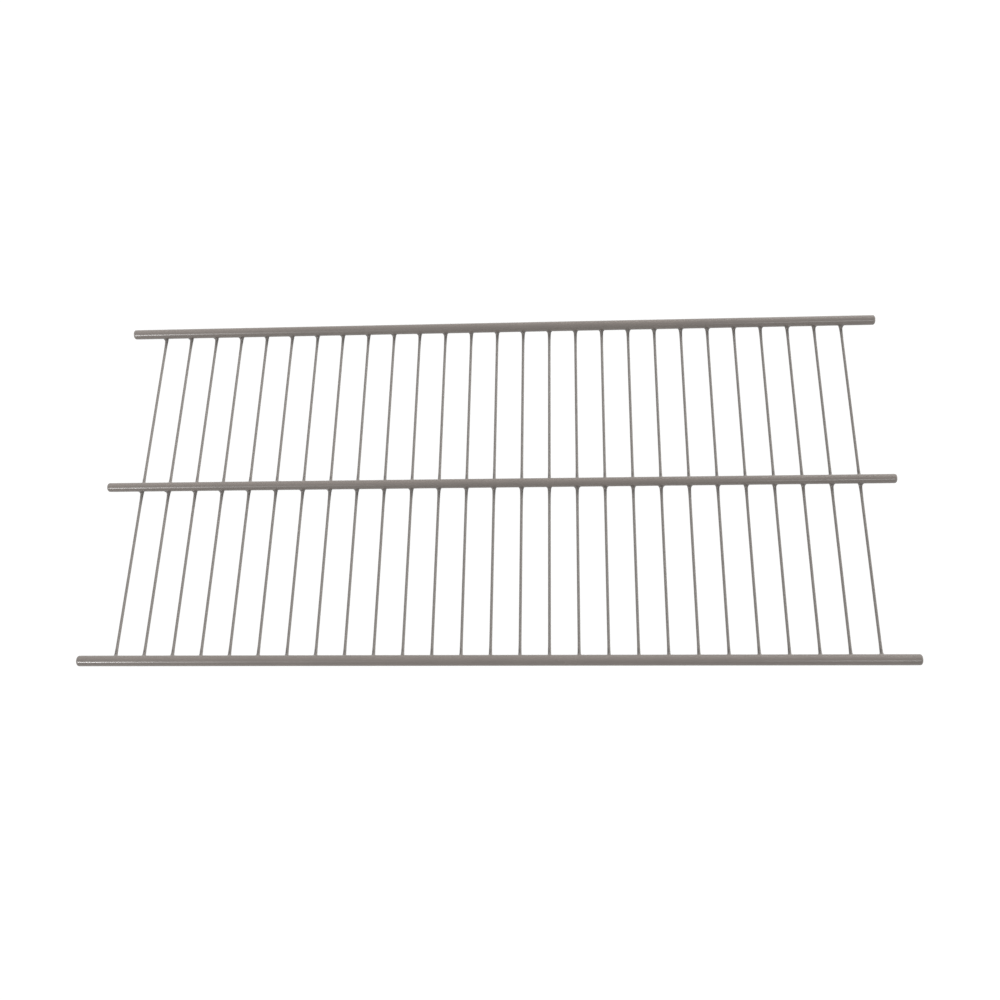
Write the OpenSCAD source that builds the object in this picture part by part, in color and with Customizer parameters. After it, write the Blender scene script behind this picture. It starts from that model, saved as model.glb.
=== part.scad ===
// Refrigerator wire shelf: 27 thin deck wires welded under three thicker rods.
// The shelf lies flat on its wires. X runs along the rods, Y from the front rod to the
// rear one and Z up, with the origin under the shelf's centre.

/* [Deck wires] */
// Number of deck wires, side by side along the rods
wire_count = 27; // [3:1:50]
// Distance from the axis of one deck wire to the axis of the next
wire_pitch = 18.25; // [8:0.25:40]
// Diameter of a deck wire with its coating
wire_d = 1.8; // [1.6:0.1:3]
// How far each deck wire runs on past the axes of the front and rear rods
wire_reach = 1; // [0.2:0.1:2]
// Radius that rounds the cut ends of a deck wire
wire_end_r = 0.3; // [0.1:0.05:0.7]

/* [Rods] */
// Diameter of the front and rear rods with their coating
edge_rod_d = 6.7; // [4:0.1:10]
// Diameter of the middle rod with its coating
middle_rod_d = 6; // [4:0.1:10]
// Distance from the middle rod's axis to the axes of the front and rear rods
rod_spacing = 120.5; // [40:0.5:250]
// How far each rod runs on past the axes of the outermost deck wires, to lie on its ledge
rod_overhang = 22.5; // [6:0.5:80]
// Radius that rounds the cut ends of a rod
rod_end_r = 1.5; // [0.2:0.1:1.9]

/* [Welds] */
// How deep a deck wire is pressed into each rod that it carries
weld_sink = 0.3; // [0.1:0.05:0.5]
// Radius of the fillet that the coating forms in the corners of a crossing
fillet_r = 1.1; // [0.4:0.1:1.4]

/* [Hidden] */
$fn = 96;

// A cut runs past what it cuts by this much
overrun = 1;

wire_r = wire_d / 2;
wire_length = 2 * (rod_spacing + wire_reach);
deck_width = (wire_count - 1) * wire_pitch;
rod_length = deck_width + 2 * rod_overhang;
// The undersides of all three rods lie at one height, a weld's depth into the wires
rod_floor = wire_d - weld_sink;

rod_colour = "#8A827C";
wire_colour = "#8E8B88";

function wire_name(i) = str("deck_wire_", i < 10 ? "0" : "", i);
// Place of deck wire i along the rods, counted from 1 at the left
function wire_x(i) = (i - 1) * wire_pitch - deck_width / 2;
function rod_axis_z(d) = rod_floor + d / 2;

// Round bar along Z, centred on the origin, with rounded cut ends
module bar(d, length, end_r) {
    rotate_extrude() intersection() {
        translate([0, -length / 2]) square([d / 2, length]);
        union() {
            translate([0, end_r - length / 2]) square([d / 2, length - 2 * end_r]);
            translate([0, -length / 2]) square([d / 2 - end_r, length]);
            for (end = [-1, 1])
                translate([d / 2 - end_r, end * (length / 2 - end_r)]) circle(end_r);
        }
    }
}

// Rod along X at distance y from the shelf's middle
module rod(d, y) {
    color(rod_colour)
    translate([0, y, rod_axis_z(d)])
    rotate([0, 90, 0])
    bar(d, rod_length, rod_end_r);
}

// The space that a rod fills where it crosses the deck wires
module rod_seat(d, y) {
    translate([0, y, rod_axis_z(d)])
    rotate([0, 90, 0])
    cylinder(h = wire_pitch, d = d, center = true);
}

// Coating that creeps from a deck wire up to the rod across it. Seen from the side it is
// the fillet of a ball that lies on the wire against the rod, turned round the wire's
// axis. Seen from the front it is that of a ball that lies under the rod by the wire.
module crossing_fillet(d, y) {
    collar_r = wire_r + fillet_r;
    // Place of the ball on the wire, beside the rod's axis
    ball_y = sqrt(pow(d / 2 + fillet_r, 2) - pow(d / 2 - weld_sink - fillet_r, 2));
    // Place of the ball under the rod, above and beside the wire's axis
    ball_z = wire_r - weld_sink - fillet_r;
    ball_x = sqrt(pow(collar_r, 2) - pow(ball_z, 2));
    touch_z = ball_z * wire_r / collar_r;
    // The fillet goes no further than the wire's cut ends
    near = max(-ball_y, -wire_length / 2 - y);
    far = min(ball_y, wire_length / 2 - y);

    translate([0, y, wire_r]) intersection() {
        rotate([-90, 0, 0]) rotate_extrude() difference() {
            translate([0, near]) square([collar_r, far - near]);
            for (side = [-1, 1]) translate([collar_r, side * ball_y]) circle(fillet_r);
        }
        rotate([90, 0, 0])
        linear_extrude(height = 2 * (ball_y + overrun), center = true)
        difference() {
            translate([-collar_r, touch_z]) square([2 * collar_r, collar_r + overrun]);
            for (side = [-1, 1]) translate([side * ball_x, ball_z]) circle(fillet_r);
        }
    }
}

// Deck wire i, along Y, seated under all three rods
module deck_wire(i) {
    rods = [[edge_rod_d, -rod_spacing], [middle_rod_d, 0], [edge_rod_d, rod_spacing]];

    color(wire_colour)
    translate([wire_x(i), 0, 0])
    difference() {
        union() {
            translate([0, 0, wire_r]) rotate([90, 0, 0]) bar(wire_d, wire_length, wire_end_r);
            for (r = rods) crossing_fillet(r[0], r[1]);
        }
        for (r = rods) rod_seat(r[0], r[1]);
    }
}

rod(edge_rod_d, -rod_spacing);  // front_rod
rod(middle_rod_d, 0);  // middle_rod
rod(edge_rod_d, rod_spacing);  // rear_rod
for (i = [1 : wire_count]) deck_wire(i);
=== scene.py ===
"""Refrigerator wire shelf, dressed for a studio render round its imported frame.

Three coated rods lie across twenty-seven coated deck wires. Each rod and each wire is
modelled again with the finish of the real one, and stands exactly where its solid is.
"""

import logging
import math
import random
from dataclasses import dataclass, field
from enum import Enum

import bmesh
import bpy
import numpy as np
from mathutils import Matrix, Vector


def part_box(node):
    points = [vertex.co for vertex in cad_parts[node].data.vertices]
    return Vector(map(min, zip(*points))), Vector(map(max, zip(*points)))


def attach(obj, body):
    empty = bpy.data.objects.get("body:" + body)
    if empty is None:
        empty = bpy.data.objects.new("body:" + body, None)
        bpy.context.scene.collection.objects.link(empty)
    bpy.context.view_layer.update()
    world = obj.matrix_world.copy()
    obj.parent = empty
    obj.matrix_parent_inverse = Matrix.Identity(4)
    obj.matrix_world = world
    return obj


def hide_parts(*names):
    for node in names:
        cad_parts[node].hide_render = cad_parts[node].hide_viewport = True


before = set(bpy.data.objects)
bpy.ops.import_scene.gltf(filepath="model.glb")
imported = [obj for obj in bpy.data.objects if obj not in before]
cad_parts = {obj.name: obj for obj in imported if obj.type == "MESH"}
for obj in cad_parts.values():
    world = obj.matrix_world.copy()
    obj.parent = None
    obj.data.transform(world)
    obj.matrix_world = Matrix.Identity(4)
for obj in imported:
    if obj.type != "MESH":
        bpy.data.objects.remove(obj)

MM = 0.001
# Keeps a division from being by zero
TINY = 1e-12
# Mesh attribute that tells how much painted shade darkens a point in the corners of the welds, from 0 to 1
CREASE_SHADE_ATTRIBUTE = "painted_crease_shade_share"
LOG = logging.getLogger("wire_shelf")


class RodPlace(Enum):
    """The three rods, each by the name of the solid that it stands for."""

    FRONT = "front_rod"
    MIDDLE = "middle_rod"
    REAR = "rear_rod"


class Slot(Enum):
    """Names of the material slots."""

    RODS = "rod_coating"
    WIRES = "wire_coating"


def srgb(text: str) -> tuple[float, float, float, float]:
    """Turns an sRGB hex colour into a linear one.

    Args:
        text: Six hex digits after a hash sign.

    Returns:
        Linear red, green, blue and an alpha of 1.
    """
    parts = [int(text[place:place + 2], 16) / 255 for place in (1, 3, 5)]
    linear = [part / 12.92 if part <= 0.04045 else ((part + 0.055) / 1.055) ** 2.4 for part in parts]
    return (*linear, 1.0)


def ease(share: np.ndarray) -> np.ndarray:
    """Eases a run from 0 to 1 in and out, so that it starts and ends without a kink."""
    return share * share * (3 - 2 * share)


def add_node(
    tree: bpy.types.NodeTree,
    kind: str,
    links: dict[str | int, bpy.types.NodeSocket] | None = None,
    **settings: object,
) -> bpy.types.Node:
    """Adds one shader node.

    Args:
        tree: The node tree that gets the node.
        kind: Blender's name for the node's type.
        links: Output sockets to join to the new node's inputs, by input name or number.
        **settings: Node properties, or input values by socket name with spaces as underscores.

    Returns:
        The new node.
    """
    node = tree.nodes.new(kind)
    for name, value in settings.items():
        if hasattr(node, name):
            setattr(node, name, value)
        else:
            node.inputs[name.replace("_", " ")].default_value = value
    for socket, output in (links or {}).items():
        tree.links.new(output, node.inputs[socket])
    return node


@dataclass(frozen=True)
class PowderCoat:
    """Polyester powder coat, sprayed dry on the welded steel and melted in an oven.

    It flows out to a semi-gloss skin with a faint orange peel, creeps into the corners of
    the welds, and carries a slight mottle of the two pigments that make its taupe.
    """

    name: str
    # Tones of the mottle
    light: str
    dark: str
    # Tone of the painted shade in the corners of the welds, where there are any: the coat is drawn darker
    # where it fills the corner under a rod
    crease_shade: str | None = None
    roughness: float = 0.25
    # Least and most roughness over the patches, as shares of the usual one
    roughness_shares: tuple[float, float] = (0.9, 1.12)
    ior: float = 1.5
    # Orange peel of a thick powder coat: one hump every few millimetres
    peel_size: float = 2.6 * MM
    peel_height: float = 0.004 * MM
    # Grain of powder that has not flowed out, drawn several times too coarse so that it shows
    grain_size: float = 0.45 * MM
    grain_height: float = 0.0006 * MM
    # Patches of slightly thicker film
    patch_size: float = 22 * MM
    # Values between which nearly all of the patches' noise lies
    patch_span: tuple[float, float] = (0.3, 0.7)

    def material(self) -> bpy.types.Material:
        """Builds the finish.

        Returns:
            The material, with colour, roughness and relief from its own nodes.
        """
        made = bpy.data.materials.new(self.name)
        made.use_nodes = True
        tree = made.node_tree
        shader = tree.nodes["Principled BSDF"]
        shader.inputs["Metallic"].default_value = 0.0
        shader.inputs["IOR"].default_value = self.ior
        place = add_node(tree, "ShaderNodeTexCoord").outputs["Object"]
        patches, peel, grain = (
            add_node(tree, "ShaderNodeTexNoise", {"Vector": place}, Scale=1 / size, Detail=octaves)
            for size, octaves in ((self.patch_size, 3.0), (self.peel_size, 1.0), (self.grain_size, 2.0))
        )

        colour = add_node(
            tree, "ShaderNodeMix", {"Factor": patches.outputs["Fac"]}, data_type="RGBA", clamp_factor=True
        )
        colour.inputs["A"].default_value = srgb(self.dark)
        colour.inputs["B"].default_value = srgb(self.light)
        tone = colour.outputs["Result"]
        # Painted shade: in the corners of the welds the coat darkens to the shade tone, following the mesh's
        # shade attribute
        if self.crease_shade:
            depth = add_node(tree, "ShaderNodeAttribute", attribute_name=CREASE_SHADE_ATTRIBUTE)
            shaded_tone = add_node(
                tree, "ShaderNodeMix", {"Factor": depth.outputs["Fac"]}, data_type="RGBA", clamp_factor=True
            )
            tree.links.new(tone, shaded_tone.inputs["A"])
            shaded_tone.inputs["B"].default_value = srgb(self.crease_shade)
            tone = shaded_tone.outputs["Result"]
        tree.links.new(tone, shader.inputs["Base Color"])

        gloss = add_node(
            tree,
            "ShaderNodeMapRange",
            {"Value": patches.outputs["Fac"]},
            From_Min=self.patch_span[0],
            From_Max=self.patch_span[1],
            To_Min=self.roughness * self.roughness_shares[0],
            To_Max=self.roughness * self.roughness_shares[1],
        )
        tree.links.new(gloss.outputs["Result"], shader.inputs["Roughness"])
        humps = add_node(
            tree, "ShaderNodeBump", {"Height": peel.outputs["Fac"]}, Strength=1.0, Distance=self.peel_height
        )
        relief = add_node(
            tree,
            "ShaderNodeBump",
            {"Height": grain.outputs["Fac"], "Normal": humps.outputs["Normal"]},
            Strength=1.0,
            Distance=self.grain_height,
        )
        tree.links.new(relief.outputs["Normal"], shader.inputs["Normal"])
        return made


def new_piece(name: str, shape: bmesh.types.BMesh, coat: bpy.types.Material) -> bpy.types.Object:
    """Turns a finished bmesh into a smooth, coated object at the origin.

    Args:
        name: Name of the piece.
        shape: Its shape, which is freed.
        coat: Its material.

    Returns:
        The object, linked to the scene.
    """
    bmesh.ops.recalc_face_normals(shape, faces=shape.faces)
    for face in shape.faces:
        face.smooth = True
    mesh = bpy.data.meshes.new(name)
    shape.to_mesh(mesh)
    shape.free()
    mesh.materials.append(coat)
    piece = bpy.data.objects.new(name, mesh)
    bpy.context.scene.collection.objects.link(piece)
    return piece


def stand_for(piece: bpy.types.Object, node: str) -> None:
    """Hangs a piece on the shelf's root body and hides the solid that it stands for.

    Args:
        piece: The finished piece.
        node: Name of the solid.
    """
    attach(piece, "root")
    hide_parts(node)
    LOG.info("%s stands for %s with %d faces", piece.name, node, len(piece.data.polygons))


@dataclass
class Rod:
    """One coated rod: a round bar along X whose cut ends the coating has rounded."""

    place: RodPlace
    end_radius: float = 1.5 * MM
    sides: int = 72
    end_steps: int = 8
    centre: Vector = field(init=False)
    radius: float = field(init=False)
    length: float = field(init=False)

    def __post_init__(self) -> None:
        """Takes the rod's size and place from its solid."""
        low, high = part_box(self.place.value)
        self.centre = (low + high) / 2
        self.radius = (high.z - low.z) / 2
        self.length = high.x - low.x

    def build(self, coat: bpy.types.Material) -> bpy.types.Object:
        """Models the rod.

        Args:
            coat: Material of the rods.

        Returns:
            The finished piece.
        """
        shape = bmesh.new()
        bmesh.ops.create_cone(
            shape,
            cap_ends=True,
            segments=self.sides,
            radius1=self.radius,
            radius2=self.radius,
            depth=self.length,
            matrix=Matrix.Translation(self.centre) @ Matrix.Rotation(math.radians(90), 4, "Y"),
        )
        rims = [edge for edge in shape.edges if any(len(face.verts) > 4 for face in edge.link_faces)]
        bmesh.ops.bevel(
            shape,
            geom=rims,
            offset=self.end_radius,
            segments=self.end_steps,
            profile=0.5,
            affect="EDGES",
            material=-1,
        )
        return new_piece(f"coated_{self.place.value}", shape, coat)


@dataclass(frozen=True)
class Crossing:
    """A rod over a deck wire, in the wire's own frame: X across, Y along and Z up from its middle."""

    along: float
    rise: float
    radius: float

    def gap(self, points: np.ndarray) -> np.ndarray:
        """Gives each point's distance from the rod's surface, negative inside it."""
        return np.hypot(points[..., 1] - self.along, points[..., 2] - self.rise) - self.radius


def way_out(steps: np.ndarray, gap: np.ndarray) -> np.ndarray:
    """Finds how far out rays leave a solid.

    Args:
        steps: Distances along each ray, one row for each.
        gap: Distance from the solid's surface at each step, negative inside it.

    Returns:
        One distance for each ray, between its last step inside and its first one outside,
        or that of its last step where it never leaves.
    """
    gap = gap.copy()
    gap[:, -1] = np.maximum(gap[:, -1], 0)
    after = (gap >= 0).argmax(axis=1)
    before = np.maximum(after - 1, 0)
    row = np.arange(len(gap))
    low, high = gap[row, before], gap[row, after]
    part = np.where(high > low, np.clip(-low / np.maximum(high - low, TINY), 0, 1), 0)
    return steps[row, before] + part * (steps[row, after] - steps[row, before])


@dataclass
class DeckWires:
    """The coated deck wires, all alike but for how the coating crept at each weld."""

    rods: list[Rod]
    radius: float = 0.9 * MM
    end_radius: float = 0.3 * MM
    sides: int = 32
    end_steps: int = 4
    # Rings lie coarse_step apart near a rod, and fine_step apart from fine_from to fine_to
    # off its axis, where the coating creeps. Beyond ring_reach there are none
    coarse_step: float = 0.45 * MM
    fine_step: float = 0.2 * MM
    fine_from: float = 1.0 * MM
    fine_to: float = 7.8 * MM
    ring_reach: float = 14.0 * MM
    # Rings whose places agree to this many digits, in metres, are one
    ring_digits: int = 7
    # Radius of the coating's fillet under a rod, in front of it and behind it. The shelf
    # hangs by its rear rod while the coat is soft, so more of it gathers behind each rod
    creep_under: float = 1.6 * MM
    creep_front: float = 2.4 * MM
    creep_rear: float = 3.8 * MM
    # Share of a rod's radius, off its axis, up to which the fillet is the one under it
    under_share: float = 0.4
    # How much the fillets differ between welds
    creep_spread: float = 0.08
    # Share of the creep on a wire's underside, where next to none of it hangs
    least_lift: float = 0.01
    # How much thicker the coat lies beside a rod, how soon that dies away, and after how
    # many times that reach it counts as gone
    swell: float = 0.24 * MM
    swell_reach: float = 3.5 * MM
    swell_reaches: float = 4.0
    # The painted shade is full where the coat stands this share of its fillet's radius off the wire
    full_shade_share: float = 0.55
    # The coating's edge is carried on this far into the rod
    bury: float = 0.12 * MM
    # How far off the bare wire the coating's skin is looked for, as a share of the creep,
    # and in how many steps
    search_share: float = 2.4
    search_steps: int = 220
    names: list[str] = field(init=False)
    length: float = field(init=False)
    axis_z: float = field(init=False)
    crossings: list[Crossing] = field(init=False)

    def __post_init__(self) -> None:
        """Finds the wires' solids, and where the rods cross them."""
        self.names = sorted(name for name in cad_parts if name.startswith("deck_wire_"))
        low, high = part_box(self.names[0])
        self.length = high.y - low.y
        self.axis_z = low.z + self.radius
        self.crossings = [Crossing(rod.centre.y, rod.centre.z - self.axis_z, rod.radius) for rod in self.rods]

    def stations(self) -> list[float]:
        """Places of the rings along a wire, close together where the coating creeps.

        Returns:
            Distances from the wire's middle, in order, without its two ends.
        """
        end = self.length / 2 - 2 * self.end_radius
        places = set()
        for crossing in self.crossings:
            step = -self.ring_reach
            while step <= self.ring_reach:
                place = crossing.along + step
                if abs(place) < end:
                    places.add(round(place, self.ring_digits))
                step += self.fine_step if self.fine_from <= abs(step) <= self.fine_to else self.coarse_step
        return sorted(places | {-end, end})

    def straight(self) -> bmesh.types.BMesh:
        """Models a straight wire, with rings at the stations and rounded ends.

        Returns:
            The wire along Y, centred on its own axis.
        """
        shape = bmesh.new()
        lay = Matrix.Rotation(math.radians(-90), 4, "X")
        start = Matrix.Translation((0, -self.length / 2, 0))
        bmesh.ops.create_circle(shape, segments=self.sides, radius=self.radius, matrix=start @ lay)
        rim, here = list(shape.edges), -self.length / 2
        first = list(rim)
        for place in [*self.stations(), self.length / 2]:
            grown = bmesh.ops.extrude_edge_only(shape, edges=rim)["geom"]
            ring = {item for item in grown if isinstance(item, bmesh.types.BMVert)}
            rim = [item for item in grown if isinstance(item, bmesh.types.BMEdge) and set(item.verts) <= ring]
            bmesh.ops.translate(shape, verts=list(ring), vec=(0, place - here, 0))
            here = place
        bmesh.ops.edgeloop_fill(shape, edges=first)
        bmesh.ops.edgeloop_fill(shape, edges=rim)
        bmesh.ops.bevel(
            shape,
            geom=[*first, *rim],
            offset=self.end_radius,
            segments=self.end_steps,
            profile=0.5,
            affect="EDGES",
            material=-1,
        )
        return shape

    def wire_gap(self, points: np.ndarray) -> np.ndarray:
        """Measures how far points lie from the bare wire's surface.

        Args:
            points: Places in the wire's own frame.

        Returns:
            One distance for each point, negative inside the wire.
        """
        out = np.hypot(points[..., 0], points[..., 2]) - self.radius
        past = np.abs(points[..., 1]) - self.length / 2
        return np.hypot(np.maximum(out, 0), np.maximum(past, 0)) + np.minimum(np.maximum(out, past), 0)

    def skin_gap(
        self, points: np.ndarray, crossing: Crossing, creep: np.ndarray, swell: np.ndarray
    ) -> np.ndarray:
        """Measures how far points lie from the coating's skin at a crossing.

        Args:
            points: Places in the wire's own frame.
            crossing: The rod that the wire meets.
            creep: Radius of the fillet that fills the corner between wire and rod.
            swell: How much thicker than usual the coat lies on the wire.

        Returns:
            One distance for each point, negative inside the coat.
        """
        wire, rod = self.wire_gap(points) - swell, crossing.gap(points)
        corner = np.hypot(np.maximum(creep - wire, 0), np.maximum(creep - rod, 0))
        filled = np.maximum(creep, np.minimum(wire, rod)) - corner
        return np.maximum(filled, -rod - self.bury)

    def coat_crossing(
        self, points: np.ndarray, crossing: Crossing, share: float
    ) -> tuple[np.ndarray, np.ndarray]:
        """Pushes a wire's surface out to the coating's fillet under one rod.

        Args:
            points: The wire's vertices, in its own frame.
            crossing: The rod that it meets.
            share: Size of this weld's fillets against the usual one.

        Returns:
            The vertices, moved where the fillet is, and how much painted shade darkens each.
        """
        aside = (points[:, 1] - crossing.along) / crossing.radius
        span = crossing.radius + self.swell_reaches * self.swell_reach
        near = np.abs(aside) * crossing.radius < span
        held, aside = points[near], aside[near]
        out = ease(np.clip((np.abs(aside) - self.under_share) / (1 - self.under_share), 0, 1))
        beside = np.where(aside < 0, self.creep_front, self.creep_rear)

        # Each vertex may move out along its ray, which starts on the wire's axis
        root = held * (0, 1, 0)
        root[:, 1] = np.clip(root[:, 1], self.radius - self.length / 2, self.length / 2 - self.radius)
        ray = held - root
        ray /= np.linalg.norm(ray, axis=1, keepdims=True)
        lift = np.maximum(ease(np.clip(1 + ray[:, 2], 0, 1)), self.least_lift)
        creep = (share * lift * (self.creep_under + (beside - self.creep_under) * out))[:, None]
        away = np.maximum(np.abs(aside) - 1, 0) * crossing.radius
        swell = (lift * self.swell * np.exp(-away / self.swell_reach))[:, None]
        steps = creep * np.linspace(0, self.search_share, self.search_steps)
        trail = held[:, None, :] + ray[:, None, :] * steps[..., None]
        moved = way_out(steps, self.skin_gap(trail, crossing, creep, swell))

        coated, depth = points.copy(), np.zeros(len(points))
        coated[near] = held + ray * moved[:, None]
        # None of the coat hangs below the wire
        coated[:, 2] = np.maximum(coated[:, 2], -self.radius)
        # Painted shade: its share grows with how far the coat is pushed out into the fillet
        depth[near] = np.clip(moved / (self.full_shade_share * creep[:, 0]), 0, 1)
        return coated, depth

    def coat_wire(self, bare: np.ndarray, name: str) -> tuple[np.ndarray, np.ndarray]:
        """Coats one wire at all of its crossings.

        Args:
            bare: Vertices of the straight wire, in its own frame.
            name: Name of its solid, from which the differences between its welds are drawn.

        Returns:
            The vertices in their places on the shelf, and how much painted shade darkens each.
        """
        draw = random.Random(name)
        points, depth = bare, np.zeros(len(bare))
        for crossing in self.crossings:
            share = 1 + draw.uniform(-self.creep_spread, self.creep_spread)
            points, crease_shade = self.coat_crossing(points, crossing, share)
            # Painted shade: the darkest of the crossings' shades at each vertex
            depth = np.maximum(depth, crease_shade)
        low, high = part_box(name)
        return points + ((low.x + high.x) / 2, (low.y + high.y) / 2, self.axis_z), depth

    def build(self, coat: bpy.types.Material) -> list[bpy.types.Object]:
        """Models every deck wire.

        Args:
            coat: Material of the wires.

        Returns:
            The finished pieces, from left to right.
        """
        master = bpy.data.meshes.new("straight_wire")
        bare = self.straight()
        bare.to_mesh(master)
        bare.free()
        flat = np.empty(len(master.vertices) * 3)
        master.vertices.foreach_get("co", flat)
        pieces = []
        for name in self.names:
            points, depth = self.coat_wire(flat.reshape(-1, 3), name)
            shape = bmesh.new()
            shape.from_mesh(master)
            # Painted shade in the corners of the welds, carried on each vertex
            layer = shape.verts.layers.float.new(CREASE_SHADE_ATTRIBUTE)
            for vertex, point, shade_amount in zip(shape.verts, points.tolist(), depth.tolist()):
                vertex.co, vertex[layer] = point, shade_amount
            pieces.append(new_piece(f"coated_{name}", shape, coat))
        bpy.data.meshes.remove(master)
        return pieces


@dataclass(frozen=True)
class PhotoCamera:
    """The photograph's viewpoint, as a pinhole fitted to the shelf's rods and wires."""

    # Focal length as a share of the picture's width, and that width on the sensor
    focal_share: float = 1.1438
    sensor: float = 36.0
    # Nearest and farthest distance that it sees, in metres
    sight: tuple[float, float] = (0.01, 50.0)
    # Degrees down from level, to the right of +Y, and about the line of sight
    elevation: float = 65.178
    turn: float = -8.82
    roll: float = -8.62
    distance: float = 750.6 * MM
    target: tuple[float, float, float] = (4.1 * MM, -10.64 * MM, 1.0 * MM)

    def build(self) -> bpy.types.Object:
        """Places the camera and makes it the scene's.

        Returns:
            The camera.
        """
        turn, tilt, roll = (math.radians(angle) for angle in (self.turn, self.elevation, self.roll))
        look = Vector((math.sin(turn) * math.cos(tilt), math.cos(turn) * math.cos(tilt), -math.sin(tilt)))
        level = Vector((math.cos(turn), -math.sin(turn), 0))
        upright = level.cross(look)
        across = level * math.cos(roll) + upright * math.sin(roll)
        up = upright * math.cos(roll) - level * math.sin(roll)
        data = bpy.data.cameras.new("photo_camera")
        data.sensor_width = self.sensor
        data.lens = self.sensor * self.focal_share
        data.clip_start, data.clip_end = self.sight
        camera = bpy.data.objects.new("photo_camera", data)
        facing = Matrix((across, up, -look)).transposed().to_4x4()
        camera.matrix_world = Matrix.Translation(Vector(self.target) - look * self.distance) @ facing
        bpy.context.scene.collection.objects.link(camera)
        bpy.context.scene.camera = camera
        return camera


@dataclass(frozen=True)
class SoftLight:
    """A rectangular studio lamp that faces a point of the shelf."""

    name: str
    # Middle of the lamp in metres, its width and height, and its brightness
    place: tuple[float, float, float]
    size: tuple[float, float]
    radiance: float
    # It faces the point of the shelf that is this far to the right of its middle
    aim: float = 0.0
    # Whether the coat's gloss shows it: a lamp that only lights up shade leaves no streak
    mirrored: bool = True

    def build(self) -> bpy.types.Object:
        """Places the lamp.

        Returns:
            The lamp.
        """
        data = bpy.data.lights.new(self.name, "AREA")
        data.shape = "RECTANGLE"
        data.size, data.size_y = width, height = self.size
        data.energy = self.radiance * math.pi * width * height
        lamp = bpy.data.objects.new(self.name, data)
        lamp.location = self.place
        lamp.rotation_mode = "QUATERNION"
        lamp.rotation_quaternion = (Vector(self.place) - Vector((self.aim, 0, 0))).to_track_quat("Z", "Y")
        lamp.visible_glossy = self.mirrored
        bpy.context.scene.collection.objects.link(lamp)
        return lamp


def seen(tree: bpy.types.NodeTree) -> bpy.types.NodeSocket:
    """Tells what the camera sees, also in gloss and through glass.

    Args:
        tree: The node tree that gets the nodes.

    Returns:
        A socket that is 1 for those rays and 0 for the light's own.
    """
    path = add_node(tree, "ShaderNodeLightPath")
    first = add_node(
        tree,
        "ShaderNodeMath",
        {0: path.outputs["Is Camera Ray"], 1: path.outputs["Is Glossy Ray"]},
        operation="MAXIMUM",
    )
    both = add_node(
        tree,
        "ShaderNodeMath",
        {0: first.outputs[0], 1: path.outputs["Is Transmission Ray"]},
        operation="MAXIMUM",
    )
    return both.outputs[0]


@dataclass(frozen=True)
class WhitePaper:
    """Matt white background paper, wide enough to fill the picture.

    It shows as plain white, as bright paper does in the photograph, and still takes some
    of the shelf's shadow.
    """

    name: str = "white_paper_floor"
    colour: str = "#CBCBC9"
    # Share and strength of its own white in the picture; the rest takes the shadow
    glow: float = 0.88
    glow_colour: str = "#FFFFFF"
    glow_strength: float = 1.11

    def material(self) -> bpy.types.Material:
        """Builds the finish.

        Returns:
            The material, which lights up only for what the camera sees.
        """
        made = bpy.data.materials.new(self.name)
        made.use_nodes = True
        tree = made.node_tree
        tree.nodes.clear()
        matt = add_node(tree, "ShaderNodeBsdfDiffuse", Color=srgb(self.colour))
        light = add_node(
            tree, "ShaderNodeEmission", Color=srgb(self.glow_colour), Strength=self.glow_strength
        )
        share = add_node(tree, "ShaderNodeMath", {0: seen(tree)}, operation="MULTIPLY")
        share.inputs[1].default_value = self.glow
        mixed = add_node(
            tree,
            "ShaderNodeMixShader",
            {0: share.outputs[0], 1: matt.outputs[0], 2: light.outputs[0]},
        )
        add_node(tree, "ShaderNodeOutputMaterial", {"Surface": mixed.outputs[0]})
        return made


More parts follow.
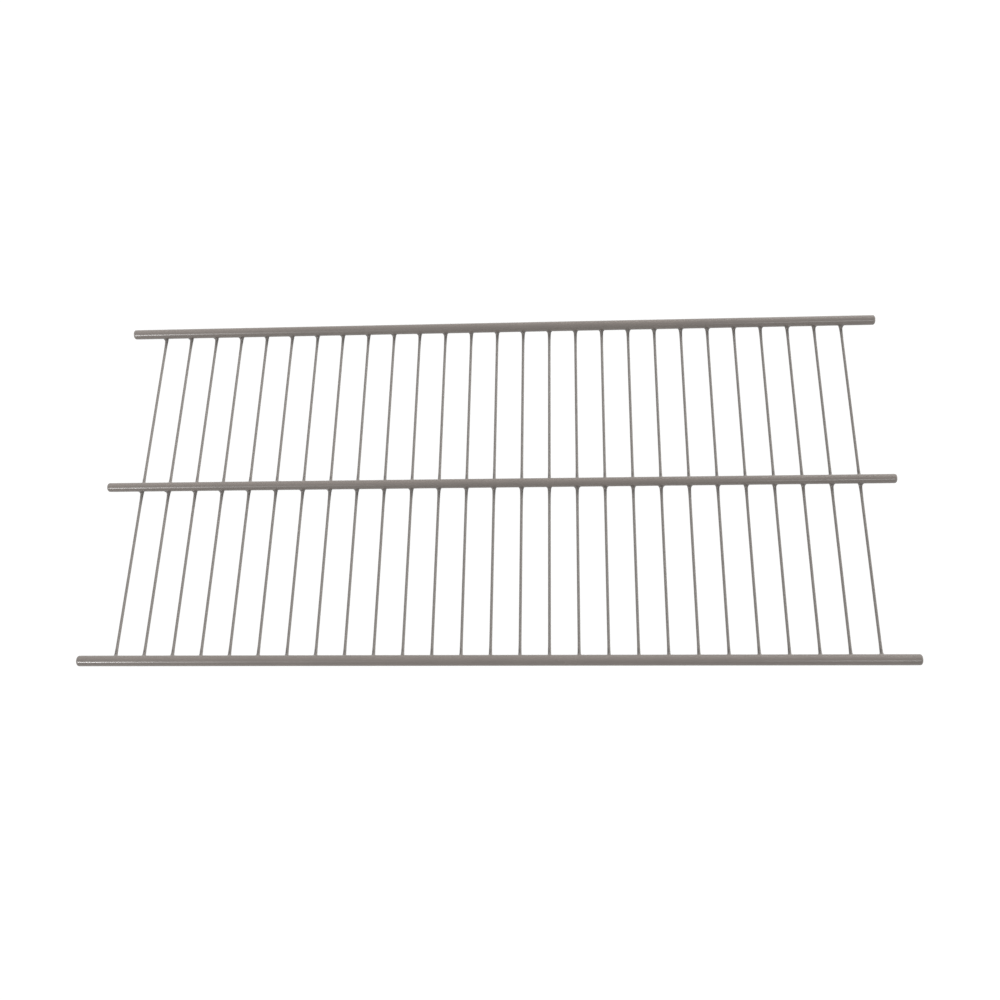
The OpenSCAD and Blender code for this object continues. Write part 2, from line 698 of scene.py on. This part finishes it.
@dataclass
class Studio:
    """White floor, pale surroundings and the lamps."""

    floor_size: float = 12.0
    paper: WhitePaper = field(default_factory=WhitePaper)
    sky_colour: str = "#FBFCFF"
    sky_strength: float = 0.27
    # What the picture shows where there is no floor
    backdrop_colour: str = "#FFFFFF"
    lamps: list[SoftLight] = field(
        default_factory=lambda: [
            SoftLight("rear_softbox", (1.1, 1.64, 1.0), (1.8, 1.2), radiance=6.8, mirrored=False),
            SoftLight("side_softbox", (4.5, 1.1, 1.1), (2.4, 1.4), radiance=9.0, mirrored=False),
            SoftLight("left_softbox", (-0.62, -0.763, 0.848), (0.7, 0.55), radiance=0.7, aim=-0.2),
            SoftLight("left_fill", (-0.5, 0.2, 0.25), (0.3, 0.3), radiance=2.3, aim=-0.22, mirrored=False),
            SoftLight("left_strip", (-1.86, -2.01, 1.75), (0.45, 0.12), radiance=230.0, aim=-0.26),
            SoftLight("right_strip", (1.3, -1.99, 2.21), (0.6, 0.3), radiance=16.0, aim=0.26),
        ]
    )

    def build_world(self) -> None:
        """Lights the scene with a pale sky that shows as plain white."""
        world = bpy.data.worlds.new("studio")
        world.use_nodes = True
        bpy.context.scene.world = world
        tree = world.node_tree
        tree.nodes.clear()
        sky = add_node(tree, "ShaderNodeBackground", Color=srgb(self.sky_colour), Strength=self.sky_strength)
        white = add_node(tree, "ShaderNodeBackground", Color=srgb(self.backdrop_colour), Strength=1.0)
        mixed = add_node(
            tree,
            "ShaderNodeMixShader",
            {0: seen(tree), 1: sky.outputs[0], 2: white.outputs[0]},
        )
        add_node(tree, "ShaderNodeOutputWorld", {"Surface": mixed.outputs[0]})

    def build_floor(self) -> bpy.types.Object:
        """Lays the floor under the shelf.

        Returns:
            The floor.
        """
        shape = bmesh.new()
        bmesh.ops.create_grid(shape, x_segments=1, y_segments=1, size=self.floor_size / 2)
        floor = new_piece("floor", shape, self.paper.material())
        return floor

    def build(self) -> None:
        """Builds the whole studio."""
        self.build_world()
        self.build_floor()
        for lamp in self.lamps:
            lamp.build()


def main() -> None:
    """Builds the camera, the shelf's pieces and the studio."""
    logging.basicConfig(level=logging.INFO, format="%(name)s: %(message)s")
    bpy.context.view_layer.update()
    PhotoCamera().build()
    rod_coat = PowderCoat("taupe_powder_coat_on_rods", "#827A74", "#79726D").material()
    # The wires' third tone is painted shade in the corners of the welds
    wire_coat = PowderCoat("taupe_powder_coat_on_wires", "#827D78", "#797470", "#6A6460").material()

    rods = [Rod(place) for place in RodPlace]
    for rod in rods:
        stand_for(rod.build(rod_coat), rod.place.value)
    wires = DeckWires(rods)
    for name, piece in zip(wires.names, wires.build(wire_coat)):
        stand_for(piece, name)
    Studio().build()
    bpy.context.scene.view_settings.view_transform = "Standard"


if __name__ == "__main__":
    main()
